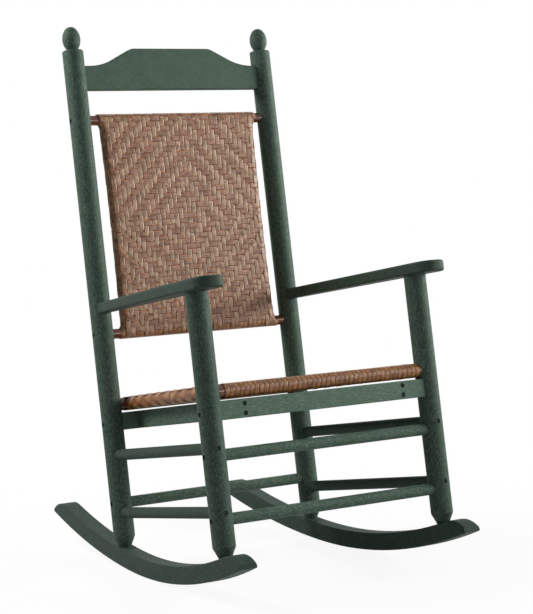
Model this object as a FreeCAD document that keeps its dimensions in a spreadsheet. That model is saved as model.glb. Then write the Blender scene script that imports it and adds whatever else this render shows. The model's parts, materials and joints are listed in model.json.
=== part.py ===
"""Rocking chair of plastic lumber with a woven seat and back.

The chair is modelled upright, with its posts plumb: x to the right seen from the front, y towards the back,
z up from the lowest point of the rockers, and the rear post axes at y = 0.
Every piece then takes one common placement, which leans the chair back until it balances on its rockers
and puts the origin on the floor, midway between the two places where the rockers touch it.
"""

import FreeCAD, Part
import math
import os
import re
import Sketcher

V = FreeCAD.Vector

SIZES = {
    # stance
    "recline_angle": 8,
    "rear_spacing": 444,
    "front_spacing": 486,
    "seat_depth": 442,
    # posts
    "post_diameter": 43,
    "post_shoulder_level": 1073,
    "shoulder_bevel": 2,
    "shoulder_diameter": 39,
    "finial_neck_diameter": 21,
    "finial_neck_height": 1.3,
    "finial_diameter": 37,
    "finial_belly_height": 22,
    "finial_crown_height": 26,
    "foot_taper_height": 20,
    "foot_tenon_diameter": 24,
    "foot_tenon_depth": 18,
    # rockers
    "rocker_radius": 1100,
    "rocker_tail_radius": 1700,
    "rocker_apex_setback": 256,
    "rocker_tail_setback": 40,
    "rocker_front_reach": 528,
    "rocker_rear_reach": 322,
    "rocker_height": 34.8,
    "rocker_width": 37,
    "rocker_nose_height": 10,
    "rocker_nose_length": 52,
    "rocker_edge_round": 3,
    # joints
    "socket_floor": 13.5,
    "fit_gap": 0.1,
    "end_gap": 0.2,
    # stretchers
    "stretcher_diameter": 22,
    "front_upper_level": 235,
    "front_lower_level": 119.5,
    "side_upper_level": 248.7,
    "side_lower_level": 133,
    "rear_lower_level": 152.5,
    # seat rails
    "rail_thickness": 25.4,
    "rail_height": 35.2,
    "rail_level": 315,
    "rail_edge_round": 2,
    "rail_screw_level": 311.5,
    "side_rail_inset": 67,
    "side_rail_screw_pitch": 18,
    "side_rail_screw_grip": 28,
    # rods and woven sleeves
    "seat_rod_diameter": 25.4,
    "seat_rod_level": 349.3,
    "back_rod_diameter": 20.4,
    "back_upper_level": 929,
    "back_lower_level": 492,
    "strand_thickness": 1.8,
    "back_weave_width": 371,
    "back_weave_waist": 7,
    "seat_weave_gap": 4.5,
    # arms
    "arm_level": 534,
    "arm_thickness": 22,
    "arm_rear_width": 25,
    "arm_rear_straight": 26,
    "arm_front_width": 60,
    "arm_reach": 68,
    "arm_bow": 5,
    "arm_corner_radius": 26,
    "arm_edge_round": 5,
    "arm_tenon_width": 20,
    "arm_tenon_thickness": 13,
    # crest rail
    "crest_level": 991.2,
    "crest_end_height": 49.6,
    "crest_middle_height": 85.7,
    "crest_thickness": 20,
    "crest_plateau_width": 170,
    "crest_ogee_width": 107,
    "crest_hollow_radius": 121,
    "crest_round_radius": 30,
    "crest_edge_round": 2.5,
    # screws
    "screw_diameter": 4.6,
    "screw_head_diameter": 8.4,
    "screw_head_height": 3.4,
    "screw_tip_length": 4,
    "screw_grip": 22,
    "recess_diameter": 9.4,
    "recess_depth": 6.5,
}

doc = FreeCAD.newDocument("rocking_chair")
sheet = doc.addObject("Spreadsheet::Sheet", "Sizes")
for row, (alias, value) in enumerate(SIZES.items(), start=1):
    sheet.set(f"A{row}", alias)
    sheet.set(f"B{row}", str(value))
    sheet.setAlias(f"B{row}", alias)
doc.recompute()


def size(alias):
    """Value of one driving dimension."""
    return float(sheet.get(alias))


def cells(formula):
    """Formula written with the sheet's words, as an expression over its cells."""
    return re.sub(r"[a-z_]+", lambda word: "Sizes." + word[0] if word[0] in SIZES else word[0], formula)


SIDES = {"left": -1, "right": 1}
UP = V(0, 0, 1)
ACROSS = V(1, 0, 0)

POSTS = {}
for side, sign in SIDES.items():
    POSTS[f"{side}_rear_post"] = V(sign * size("rear_spacing") / 2, 0, 0)
    POSTS[f"{side}_front_post"] = V(sign * size("front_spacing") / 2, -size("seat_depth"), 0)

# Pairs of posts that a bar spans, with the distance between their axes.
ALONG_SIDE = "sqrt(seat_depth ^ 2 + ((front_spacing - rear_spacing) / 2) ^ 2)"
FRONT_PAIR = ("left_front_post", "right_front_post", "front_spacing")
REAR_PAIR = ("left_rear_post", "right_rear_post", "rear_spacing")

SEAT_WRAP = "(seat_rod_diameter / 2 + fit_gap + strand_thickness)"
BACK_WRAP = "(back_rod_diameter / 2 + fit_gap + strand_thickness)"
SEAT_LINING = "(seat_rod_diameter / 2 + fit_gap)"
BACK_LINING = "(back_rod_diameter / 2 + fit_gap)"

post_radius = size("post_diameter") / 2
splay = math.atan2((size("front_spacing") - size("rear_spacing")) / 2, size("seat_depth"))
side_length = size("seat_depth") / math.cos(splay)

# The underside of a rocker is two tangent arcs: one under the seat, a flatter one for the tail.
seat_arc_centre = V(0, -size("rocker_apex_setback"), size("rocker_radius"))
tail_lean = math.asin((size("rocker_apex_setback") - size("rocker_tail_setback")) / size("rocker_radius"))
tail_shift = size("rocker_tail_radius") - size("rocker_radius")
tail_arc_centre = seat_arc_centre + V(0, -math.sin(tail_lean), math.cos(tail_lean)) * tail_shift

# Splayed rockers dip at one edge once the chair leans, and that edge stands on the floor.
lean_angle = size("recline_angle")
foot_half_width = size("rocker_width") / 2 - size("rocker_edge_round")
edge_dip = foot_half_width * math.sin(splay) * math.sin(math.radians(lean_angle))
TO_ORIGIN = V(0, -seat_arc_centre.y, edge_dip)
LEAN = FreeCAD.Placement(TO_ORIGIN, FreeCAD.Rotation(ACROSS, -lean_angle), seat_arc_centre)

pieces = []
post_cuts = {name: [] for name in POSTS}
screw_groups = {}


def side_pair(side):
    return (f"{side}_rear_post", f"{side}_front_post", ALONG_SIDE)


def raised(level):
    return V(0, 0, level)


def aim(point, direction):
    """Placement that carries local z to a direction at a point."""
    return FreeCAD.Placement(point, FreeCAD.Rotation(UP, direction))


def along(point, direction):
    """Placement whose local x follows a level direction, with z kept up."""
    yaw = math.degrees(math.atan2(direction.y, direction.x))
    return FreeCAD.Placement(point, FreeCAD.Rotation(UP, yaw))


def finish(feature, label):
    """Name a finished piece and lean it with the rest of the chair."""
    feature.Label = label
    feature.Placement = LEAN.multiply(feature.Placement)
    pieces.append(feature)


def cylinder(name, radius, height, placement):
    feature = doc.addObject("Part::Cylinder", name)
    feature.setExpression("Radius", cells(radius))
    feature.setExpression("Height", cells(height))
    feature.Placement = placement
    return feature


def cone(name, bottom_radius, top_radius, height, placement):
    feature = doc.addObject("Part::Cone", name)
    feature.setExpression("Radius1", cells(bottom_radius))
    feature.setExpression("Radius2", cells(top_radius))
    feature.setExpression("Height", cells(height))
    feature.Placement = placement
    return feature


def mortise(name, length, width, height, point, direction):
    """Box that starts at a point on its own axis and runs along a level direction."""
    feature = doc.addObject("Part::Box", name)
    feature.setExpression("Length", cells(length))
    feature.setExpression("Width", cells(width))
    feature.setExpression("Height", cells(height))
    doc.recompute()
    corner = V(0, -feature.Width.Value / 2, -feature.Height.Value / 2)
    feature.Placement = along(point, direction).multiply(FreeCAD.Placement(corner, FreeCAD.Rotation()))
    return feature


def cut(name, base, tools):
    """Base less all its tools."""
    tool = tools[0]
    if len(tools) > 1:
        tool = doc.addObject("Part::MultiFuse", f"{name}_tools")
        tool.Shapes = tools
    feature = doc.addObject("Part::Cut", f"{name}_cut")
    feature.Base = base
    feature.Tool = tool
    doc.recompute()
    return feature


def sketch_on(body, role, name):
    """Empty sketch on one of the body's own planes."""
    sketch = body.newObject("Sketcher::SketchObject", name)
    plane = next(plane for plane in body.Origin.OriginFeatures if plane.Role == role)
    sketch.AttachmentSupport = [(plane, "")]
    sketch.MapMode = "FlatFace"
    return sketch


def draw(sketch, corners, bends=None):
    """Closed outline through the corners; a bend is a point on the arc that leaves that corner."""
    bends = bends or {}
    points = [V(*corner, 0) for corner in corners]
    for index, start in enumerate(points):
        end = points[(index + 1) % len(points)]
        if index in bends:
            sketch.addGeometry(Part.Arc(start, V(*bends[index], 0), end))
        else:
            sketch.addGeometry(Part.LineSegment(start, end))
    # An arc counts its points anticlockwise, so its first point may be the outline's second one.
    first = [1 if sketch.getPoint(index, 1).isEqual(point, 1e-6) else 2
             for index, point in enumerate(points)]
    for index in range(len(points)):
        following = (index + 1) % len(points)
        joint = Sketcher.Constraint("Coincident", index, 3 - first[index], following, first[following])
        sketch.addConstraint(joint)
    return first


def bind_place(sketch, first, corner, across=None, up=None):
    """Tie a corner's place across or up the sketch to the sheet."""
    point = sketch.getPoint(corner, first[corner])
    for kind, value, formula in (("DistanceX", point.x, across), ("DistanceY", point.y, up)):
        if formula:
            index = sketch.addConstraint(Sketcher.Constraint(kind, -1, 1, corner, first[corner], value))
            sketch.setExpression(f"Constraints[{index}]", cells(formula))


def bind_radius(sketch, arc, formula):
    index = sketch.addConstraint(Sketcher.Constraint("Radius", arc, sketch.Geometry[arc].Radius))
    sketch.setExpression(f"Constraints[{index}]", cells(formula))


def pad(body, sketch, length, midplane=True):
    feature = body.newObject("PartDesign::Pad", f"{body.Name}_pad")
    feature.Profile = sketch
    feature.setExpression("Length", cells(length))
    feature.Midplane = midplane
    doc.recompute()
    return feature


def revolve(body, sketch):
    feature = body.newObject("PartDesign::Revolution", f"{body.Name}_turned")
    feature.Profile = sketch
    feature.ReferenceAxis = (sketch, ["V_Axis"])
    feature.Angle = 360
    doc.recompute()
    return feature


def round_edges(body, base, radius, wanted):
    """Round the base's edges whose middle point passes the test."""
    picked = []
    for index, edge in enumerate(base.Shape.Edges, start=1):
        middle = edge.valueAt((edge.FirstParameter + edge.LastParameter) / 2)
        if wanted(edge, middle):
            picked.append(f"Edge{index}")
    feature = body.newObject("PartDesign::Fillet", f"{base.Name}_round")
    feature.Base = (base, picked)
    feature.setExpression("Radius", cells(radius))
    doc.recompute()
    return feature


def on_circle(centre, radius, angle):
    """Point of the y-z plane on a circle, with the angle measured from straight down towards the back."""
    return (centre.y + radius * math.sin(angle), centre.z - radius * math.cos(angle))


def tangent_bend(start, heading, end):
    """Middle point of the arc that leaves a start along a heading and reaches an end."""
    chord = V(end[0] - start[0], end[1] - start[1], 0)
    forward = V(*heading, 0).normalize()
    half_turn = chord.getAngle(forward)
    normal = chord.cross(forward.cross(chord)).normalize()
    middle = V(*start, 0) + chord / 2 + normal * (chord.Length / 2 * math.tan(half_turn / 2))
    return (middle.x, middle.y)


def rocker_level(post, lift):
    """Height under a post of the rocker's underside, or of a line at a distance above it."""
    y = -side_length if "front" in post else 0
    centre, radius = tail_arc_centre, size("rocker_tail_radius")
    if y < -size("rocker_tail_setback"):
        centre, radius = seat_arc_centre, size("rocker_radius")
    return centre.z - math.sqrt((radius - lift) ** 2 - (y - centre.y) ** 2)


def foot_level(post):
    """Height at which a post's foot enters its rocker."""
    return rocker_level(post, size("rocker_height"))


def drive_screw(group, name, seat, direction, hole, grip_start, grip="screw_grip"):
    """One recessed screw: the tools that let in its head and shank, and the tool for its point.

    The head rests at the seat, the hole is the length through the first piece,
    and the grip starts where the second piece begins.
    """
    screw_groups.setdefault(group, []).append((aim(seat, direction), f"{hole} + {grip}"))
    shank = "screw_diameter / 2 + fit_gap"
    depth = "recess_depth + recess_diameter"
    recess = cylinder(f"{name}_recess", "recess_diameter / 2", depth, aim(seat, -direction))
    clearance = cylinder(f"{name}_clearance", shank, f"{hole} + end_gap", aim(seat, direction))
    point = cylinder(f"{name}_point", shank, f"{grip} + end_gap", aim(grip_start, direction))
    return [recess, clearance], point


def join_to_post(bar, post, level, inward, tip, group):
    """Screw from the far side of a post into the end of a bar that leaves it along the inward direction."""
    seat = POSTS[post] + raised(level) - inward * (post_radius - size("recess_depth"))
    hole = "(post_diameter / 2 - recess_depth + socket_floor)"
    through, point = drive_screw(group, f"{bar}_{post}", seat, inward, hole, tip)
    post_cuts[post] += through
    return point


def bar_run(first, second, level):
    """Ends of a bar between two posts, as (post, tip, inward direction) pairs."""
    start = POSTS[first] + raised(level)
    end = POSTS[second] + raised(level)
    inward = (end - start).normalize()
    inset = inward * (size("socket_floor") + size("end_gap"))
    return (first, start + inset, inward), (second, end - inset, -inward)


def socket_point(post, level, inward):
    return POSTS[post] + raised(level) + inward * size("socket_floor")


def make_round_bar(name, first, second, span, level_name, diameter, group=None):
    """Dowel or rod let into a post at each end, screwed there if it belongs to a screw group."""
    level = size(level_name)
    ends = bar_run(first, second, level)
    length = f"{span} - 2 * (socket_floor + end_gap)"
    bar = cylinder(f"{name}_bar", f"{diameter} / 2", length, aim(ends[0][1], ends[0][2]))
    points = []
    for post, tip, inward in ends:
        socket_radius = f"{diameter} / 2 + fit_gap"
        place = aim(socket_point(post, level, inward), inward)
        post_cuts[post].append(cylinder(f"{name}_{post}_socket", socket_radius, "post_diameter", place))
        if group:
            points.append(join_to_post(name, post, level, inward, tip, group))
    finish(cut(name, bar, points) if points else bar, name)


def make_end_rail(name, first, second, span, face_tools):
    """Front or rear seat rail, let into a post at each end and screwed there."""
    level = size("rail_level")
    ends = bar_run(first, second, level)
    body = doc.addObject("PartDesign::Body", f"{name}_bar")
    sketch = sketch_on(body, "YZ_Plane", f"{name}_section")
    half_thickness = size("rail_thickness") / 2
    half_height = size("rail_height") / 2
    corners = [(-half_thickness, -half_height), (half_thickness, -half_height),
               (half_thickness, half_height), (-half_thickness, half_height)]
    first_points = draw(sketch, corners)
    bind_place(sketch, first_points, 2, "rail_thickness / 2", "rail_height / 2")
    bar = pad(body, sketch, f"{span} - 2 * (socket_floor + end_gap)")
    round_edges(body, bar, "rail_edge_round", lambda edge, middle: abs(middle.x) < 1)
    body.Placement = along((ends[0][1] + ends[1][1]) / 2, ends[0][2])
    tools = list(face_tools)
    screw_level = size("rail_screw_level")
    drop = raised(screw_level - level)
    for post, tip, inward in ends:
        point = socket_point(post, level, inward)
        width, height = "rail_thickness + 2 * fit_gap", "rail_height + 2 * fit_gap"
        socket = mortise(f"{name}_{post}_socket", "post_diameter", width, height, point, inward)
        post_cuts[post].append(socket)
        tools.append(join_to_post(name, post, screw_level, inward, tip + drop, "post_screws_to_rails"))
    finish(cut(name, body, tools), name)


def make_side_rail(side, sign, face_tools):
    """Side seat rail, cut on the splay between the front and rear rails, with two screws at each end."""
    name = f"{side}_seat_rail"
    half_thickness = size("rail_thickness") / 2
    reach = half_thickness / math.cos(splay)
    rear, front = -half_thickness, half_thickness - size("seat_depth")

    def centre(y):
        return sign * (size("rear_spacing") / 2 - size("side_rail_inset") - y * math.tan(splay))

    body = doc.addObject("PartDesign::Body", f"{name}_bar")
    sketch = sketch_on(body, "XY_Plane", f"{name}_plan")
    draw(sketch, [(centre(rear) - reach, rear), (centre(front) - reach, front),
                  (centre(front) + reach, front), (centre(rear) + reach, rear)])
    bar = pad(body, sketch, "rail_height")
    round_edges(body, bar, "rail_edge_round", lambda edge, middle: edge.Length > size("seat_depth") / 2)
    body.Placement = FreeCAD.Placement(raised(size("rail_level")), FreeCAD.Rotation())
    points = []
    hole = "(rail_thickness - recess_depth)"
    for end, butt, inward in (("front", front, V(0, 1, 0)), ("rear", rear, V(0, -1, 0))):
        for course in (-1, 1):
            lift = size("rail_level") + course * size("side_rail_screw_pitch") / 2
            grip_start = V(centre(butt), butt, lift)
            seat = grip_start - inward * (size("rail_thickness") - size("recess_depth"))
            screw = f"{name}_{end}_{'upper' if course > 0 else 'lower'}"
            through, point = drive_screw(f"{end}_rail_screws", screw, seat, inward, hole, grip_start,
                                         "side_rail_screw_grip")
            face_tools[end] += through
            points.append(point)
    finish(cut(name, body, points), name)


def make_seat_frame():
    """Side rails, and the front and rear rails that they are screwed to."""
    face_tools = {"front": [], "rear": []}
    for side, sign in SIDES.items():
        make_side_rail(side, sign, face_tools)
    for end, pair in (("front", FRONT_PAIR), ("rear", REAR_PAIR)):
        make_end_rail(f"{end}_seat_rail", *pair, face_tools[end])


def make_stretchers():
    """Seven round stretchers below the seat."""
    thick = "stretcher_diameter"
    for course in ("upper", "lower"):
        name, level = f"front_{course}_stretcher", f"front_{course}_level"
        make_round_bar(name, *FRONT_PAIR, level, thick, "post_screws_to_front_stretchers")
    name = "rear_lower_stretcher"
    make_round_bar(name, *REAR_PAIR, "rear_lower_level", thick, "post_screws_to_rear_stretcher")
    for side in SIDES:
        for course in ("upper", "lower"):
            name, level = f"{side}_{course}_stretcher", f"side_{course}_level"
            make_round_bar(name, *side_pair(side), level, thick, "post_screws_to_side_stretchers")


def make_rods():
    """Rods that carry the woven seat and the woven back."""
    for course in ("upper", "lower"):
        name, level = f"back_{course}_rod", f"back_{course}_level"
        make_round_bar(name, *REAR_PAIR, level, "back_rod_diameter", "post_screws_to_back_rods")
    make_round_bar("seat_front_rod", *FRONT_PAIR, "seat_rod_level", "seat_rod_diameter")
    make_round_bar("seat_rear_rod", *REAR_PAIR, "seat_rod_level", "seat_rod_diameter")


def make_crest_rail():
    """Crest with an ogee on each shoulder: a hollow, a short straight and a round, in one smooth line."""
    half_width = size("rear_spacing") / 2 - size("socket_floor") - size("end_gap")
    end_height, middle_height = size("crest_end_height"), size("crest_middle_height")
    plateau, run = size("crest_plateau_width") / 2, size("crest_ogee_width")
    hollow, rounded = size("crest_hollow_radius"), size("crest_round_radius")
    rise = middle_height - end_height
    radii = hollow + rounded
    slope = math.atan2(run, radii - rise) - math.acos(radii / math.hypot(run, radii - rise))
    start = plateau + run

    def on_hollow(angle):
        return (start - hollow * math.sin(angle), end_height + hollow * (1 - math.cos(angle)))

    def on_round(angle):
        return (plateau + rounded * math.sin(angle), middle_height - rounded * (1 - math.cos(angle)))

    def mirrored(point):
        return (-point[0], point[1])

    right = [(half_width, end_height), on_hollow(0), on_hollow(slope), on_round(slope), on_round(0)]
    corners = [(-half_width, 0), (half_width, 0)] + right + [mirrored(point) for point in reversed(right)]
    bends = {3: on_hollow(slope / 2), 5: on_round(slope / 2),
             7: mirrored(on_round(slope / 2)), 9: mirrored(on_hollow(slope / 2))}
    body = doc.addObject("PartDesign::Body", "crest_stock")
    sketch = sketch_on(body, "XZ_Plane", "crest_outline")
    first = draw(sketch, corners, bends)
    bind_place(sketch, first, 2, "rear_spacing / 2 - socket_floor - end_gap", "crest_end_height")
    bind_place(sketch, first, 6, "crest_plateau_width / 2", "crest_middle_height")
    board = pad(body, sketch, "crest_thickness")
    face = size("crest_thickness") / 2
    inner = half_width - 1
    round_edges(body, board, "crest_edge_round",
                lambda edge, middle: abs(abs(middle.y) - face) < 1e-3 and abs(middle.x) < inner)
    body.Placement = FreeCAD.Placement(raised(size("crest_level")), FreeCAD.Rotation())
    middle_level = size("crest_level") + end_height / 2
    for post, _, inward in bar_run("left_rear_post", "right_rear_post", middle_level):
        point = socket_point(post, middle_level, inward)
        width, height = "crest_thickness + 2 * fit_gap", "crest_end_height + 2 * fit_gap"
        socket = mortise(f"crest_{post}_socket", "post_diameter", width, height, point, inward)
        post_cuts[post].append(socket)
    finish(body, "crest_rail")


def make_arm(side):
    """Paddle arm with a tenon in the rear post, scribed round that post and laid on the front post."""
    rear, front = f"{side}_rear_post", f"{side}_front_post"
    forward = (POSTS[front] - POSTS[rear]).normalize()
    heel = size("socket_floor") + size("end_gap")
    rear_half, front_half = size("arm_rear_width") / 2, size("arm_front_width") / 2
    straight, toe = size("arm_rear_straight"), side_length + size("arm_reach")
    corners = [(heel, -rear_half), (straight, -rear_half), (toe, -front_half),
               (toe, front_half), (straight, rear_half), (heel, rear_half)]
    body = doc.addObject("PartDesign::Body", f"{side}_arm_board")
    sketch = sketch_on(body, "XY_Plane", f"{side}_arm_plan")
    first = draw(sketch, corners, {2: (toe + size("arm_bow"), 0)})
    bind_place(sketch, first, 3, f"{ALONG_SIDE} + arm_reach", "arm_front_width / 2")
    bind_place(sketch, first, 5, "socket_floor + end_gap", "arm_rear_width / 2")
    board = pad(body, sketch, "arm_thickness", midplane=False)
    half_thickness = size("arm_thickness") / 2

    def is_front_corner(edge, middle):
        return abs(middle.z - half_thickness) < 1e-3 and middle.x > toe - 1

    def is_rim(edge, middle):
        return abs(abs(middle.z - half_thickness) - half_thickness) < 1e-3 and middle.x > heel + 1

    blunt = round_edges(body, board, "arm_corner_radius", is_front_corner)
    round_edges(body, blunt, "arm_edge_round", is_rim)
    body.Placement = along(POSTS[rear] + raised(size("arm_level")), forward)

    middle_level = size("arm_level") + half_thickness
    middle = POSTS[rear] + raised(middle_level)
    width, height = "arm_tenon_width", "arm_tenon_thickness"
    tenon = mortise(f"{side}_arm_tenon", "post_diameter", width, height, middle, forward)
    below = aim(middle - raised(size("arm_thickness")), UP)
    scribe = cylinder(f"{side}_arm_scribe", "post_diameter / 2 + fit_gap", "2 * arm_thickness", below)
    shoulder = cut(f"{side}_arm_shoulder", scribe, [tenon])
    point = socket_point(rear, middle_level, forward)
    width, height = "arm_tenon_width + 2 * fit_gap", "arm_tenon_thickness + 2 * fit_gap"
    post_cuts[rear].append(mortise(f"{side}_arm_socket", "post_diameter", width, height, point, forward))
    tip = point + forward * size("end_gap")
    tail_point = join_to_post(f"{side}_arm", rear, middle_level, forward, tip, "post_screws_to_arms")

    top = POSTS[front] + raised(size("arm_level") + size("arm_thickness"))
    seat = top - raised(size("recess_depth"))
    hole = "(arm_thickness - recess_depth)"
    through, post_point = drive_screw("arm_screws", f"{side}_arm_top", seat, -UP, hole,
                                      POSTS[front] + raised(size("arm_level")))
    post_cuts[front].append(post_point)
    finish(cut(f"{side}_arm", body, through + [tail_point, shoulder]), f"{side}_arm")


def make_rocker(side):
    """Rocker of two tangent arcs, rounded down to a blunt tip at both ends, with sockets for two posts."""
    height, nose_height = size("rocker_height"), size("rocker_nose_height")
    front_reach = size("rocker_front_reach") - size("rocker_apex_setback")
    front_angle = -math.asin(front_reach / size("rocker_radius"))
    rear_angle = math.asin((size("rocker_rear_reach") - tail_arc_centre.y) / size("rocker_tail_radius"))
    front_nose = front_angle + size("rocker_nose_length") / size("rocker_radius")
    rear_nose = rear_angle - size("rocker_nose_length") / size("rocker_tail_radius")

    def under_seat(lift, angle):
        return on_circle(seat_arc_centre, size("rocker_radius") - lift, angle)

    def under_tail(lift, angle):
        return on_circle(tail_arc_centre, size("rocker_tail_radius") - lift, angle)

    corners = [under_seat(0, front_angle), under_seat(0, tail_lean), under_tail(0, rear_angle),
               under_tail(nose_height, rear_angle), under_tail(height, rear_nose),
               under_seat(height, tail_lean), under_seat(height, front_nose),
               under_seat(nose_height, front_angle)]
    rear_heading = (math.cos(rear_nose), math.sin(rear_nose))
    front_heading = (-math.cos(front_nose), -math.sin(front_nose))
    bends = {0: under_seat(0, (front_angle + tail_lean) / 2),
             1: under_tail(0, (tail_lean + rear_angle) / 2),
             3: tangent_bend(corners[4], rear_heading, corners[3]),
             4: under_tail(height, (tail_lean + rear_nose) / 2),
             5: under_seat(height, (front_nose + tail_lean) / 2),
             6: tangent_bend(corners[6], front_heading, corners[7])}
    body = doc.addObject("PartDesign::Body", f"{side}_rocker_bar")
    sketch = sketch_on(body, "YZ_Plane", f"{side}_rocker_outline")
    draw(sketch, corners, bends)
    bind_radius(sketch, 0, "rocker_radius")
    bind_radius(sketch, 1, "rocker_tail_radius")
    bind_radius(sketch, 5, "rocker_radius - rocker_height")
    bar = pad(body, sketch, "rocker_width")
    face = size("rocker_width") / 2
    round_edges(body, bar, "rocker_edge_round",
                lambda edge, middle: abs(abs(middle.x) - face) < 1e-3 and edge.Length > 2 * nose_height)
    yaw = math.degrees(splay) * SIDES[side]
    body.Placement = FreeCAD.Placement(POSTS[f"{side}_rear_post"], FreeCAD.Rotation(UP, yaw))

    tools = []
    for end in ("rear", "front"):
        post = f"{side}_{end}_post"
        tenon_bottom = POSTS[post] + raised(foot_level(post) - size("foot_tenon_depth"))
        bore, full = "foot_tenon_diameter / 2 + fit_gap", "post_diameter / 2 + fit_gap"
        depth = "foot_tenon_depth + end_gap + foot_taper_height"
        socket = aim(tenon_bottom - raised(size("end_gap")), UP)
        tools.append(cylinder(f"{post}_foot_socket", bore, depth, socket))
        taper = aim(POSTS[post] + raised(foot_level(post)), UP)
        tools.append(cone(f"{post}_foot_seat", bore, full, "foot_taper_height", taper))
        seat = POSTS[post] + raised(rocker_level(post, 0) + size("recess_depth"))
        web = f"{tenon_bottom.z - seat.z:.3f}"
        through, point = drive_screw("rocker_screws", f"{post}_foot", seat, UP, web, tenon_bottom)
        tools += through
        post_cuts[post].append(point)
    finish(cut(f"{side}_rocker", body, tools), f"{side}_rocker")


def turn_post(name, profile, bends, bindings):
    """Round post turned from a half outline of (radius, height) corners, less its sockets and screw holes."""
    body = doc.addObject("PartDesign::Body", f"{name}_stock")
    sketch = sketch_on(body, "XZ_Plane", f"{name}_outline")
    first = draw(sketch, profile, bends)
    for corner, across, up in bindings:
        bind_place(sketch, first, corner, across, up)
    revolve(body, sketch)
    body.Placement = FreeCAD.Placement(POSTS[name], FreeCAD.Rotation())
    finish(cut(name, body, post_cuts[name]), name)


def foot_profile(name):
    """Corners from the bottom of the foot tenon to the full stock."""
    level = foot_level(name)
    tenon = size("foot_tenon_diameter") / 2
    bottom = level - size("foot_tenon_depth")
    return [(0, bottom), (tenon, bottom), (tenon, level), (post_radius, level + size("foot_taper_height"))]


FOOT_BINDINGS = [(1, "foot_tenon_diameter / 2", None), (3, "post_diameter / 2", None)]


def make_posts():
    """Rear posts with a turned finial, front posts cut flat under the arms."""
    shoulder = size("post_shoulder_level")
    neck, ball = size("finial_neck_diameter") / 2, size("finial_diameter") / 2
    neck_top = shoulder + size("finial_neck_height")
    belly, crown = size("finial_belly_height"), size("finial_crown_height")
    equator = neck_top + belly
    # The egg's side is one arc, upright at the equator; a smaller arc, tangent to it, closes the crown.
    side_radius = (belly ** 2 + (ball - neck) ** 2) / (2 * (ball - neck))
    offset = ((side_radius - ball) ** 2 + (side_radius - crown) ** 2) / (2 * (side_radius - crown))
    crown_radius = side_radius - offset
    meeting = math.acos((side_radius - ball) / offset)
    crown_centre = equator + crown - crown_radius

    def on_crown(angle):
        return (crown_radius * math.cos(angle), crown_centre + crown_radius * math.sin(angle))

    for side in SIDES:
        rear = f"{side}_rear_post"
        finial = [(post_radius, shoulder - size("shoulder_bevel")),
                  (size("shoulder_diameter") / 2, shoulder), (neck, shoulder), (neck, neck_top),
                  on_crown(meeting), (0, equator + crown)]
        egg_bends = {7: (ball, equator), 8: on_crown((meeting + math.pi / 2) / 2)}
        egg_foot = "post_shoulder_level + finial_neck_height"
        bindings = FOOT_BINDINGS + [(5, "shoulder_diameter / 2", "post_shoulder_level"),
                                    (7, "finial_neck_diameter / 2", egg_foot)]
        turn_post(rear, foot_profile(rear) + finial, egg_bends, bindings)

        front = f"{side}_front_post"
        level = size("arm_level")
        turn_post(front, foot_profile(front) + [(post_radius, level), (0, level)], {},
                  FOOT_BINDINGS + [(4, None, "arm_level")])


def slot_sketch(name, half_length, radius, placement):
    """Slot outline with round ends, along the sketch's own x."""
    sketch = doc.addObject("Sketcher::SketchObject", name)
    middle = half_length - radius
    bulge = radius * math.sqrt(0.5)
    corners = [(-middle, radius), (middle, radius), (half_length, 0), (middle, -radius), (-middle, -radius),
               (-half_length, 0)]
    bends = {1: (middle + bulge, bulge), 2: (middle + bulge, -bulge),
             4: (-middle - bulge, -bulge), 5: (-middle - bulge, bulge)}
    draw(sketch, corners, bends)
    sketch.Placement = placement
    return sketch


def loft(name, sections, ruled):
    feature = doc.addObject("Part::Loft", name)
    feature.Sections = sections
    feature.Solid = True
    feature.Ruled = ruled
    return feature


def common(name, first, second):
    feature = doc.addObject("Part::Common", name)
    feature.Base = first
    feature.Tool = second
    return feature


def bolster(name, half_length, radius, centre, turn, span):
    """Slot outline drawn out to both sides along x: a sheet that is round over the rods at its two ends."""
    sketch = slot_sketch(f"{name}_end", half_length, radius, FreeCAD.Placement(centre, turn))
    feature = doc.addObject("Part::Extrusion", name)
    feature.Base = sketch
    feature.DirMode = "Custom"
    feature.Dir = ACROSS
    feature.Symmetric = True
    feature.Solid = True
    feature.LengthFwd = span
    return feature


def measure(formula):
    """Value of a formula written with the sheet's words."""
    return sheet.evalExpression(cells(formula))


def back_sleeve(name, radius, inset):
    """Woven back, drawn in at the waist, round at its sides and round over its two rods."""
    low, high = size("back_lower_level"), size("back_upper_level")
    half_width = size("back_weave_width") / 2 - inset
    middle = (low + high) / 2
    waist = half_width - size("back_weave_waist")
    levels = ((low - 2 * radius, half_width), (middle, waist), (high + 2 * radius, half_width))
    side_radius = radius + size("fit_gap")
    sections = [slot_sketch(f"{name}_section_{index}", width, side_radius,
                            FreeCAD.Placement(raised(level), FreeCAD.Rotation()))
                for index, (level, width) in enumerate(levels)]
    sides = loft(f"{name}_sides", sections, False)
    upright = FreeCAD.Rotation(V(0, 0, 1), V(0, 1, 0), V(1, 0, 0), "ZYX")
    half_height = (high - low) / 2 + radius
    ends = bolster(f"{name}_ends", half_height, radius, raised(middle), upright, size("rear_spacing"))
    return common(name, sides, ends)


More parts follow.
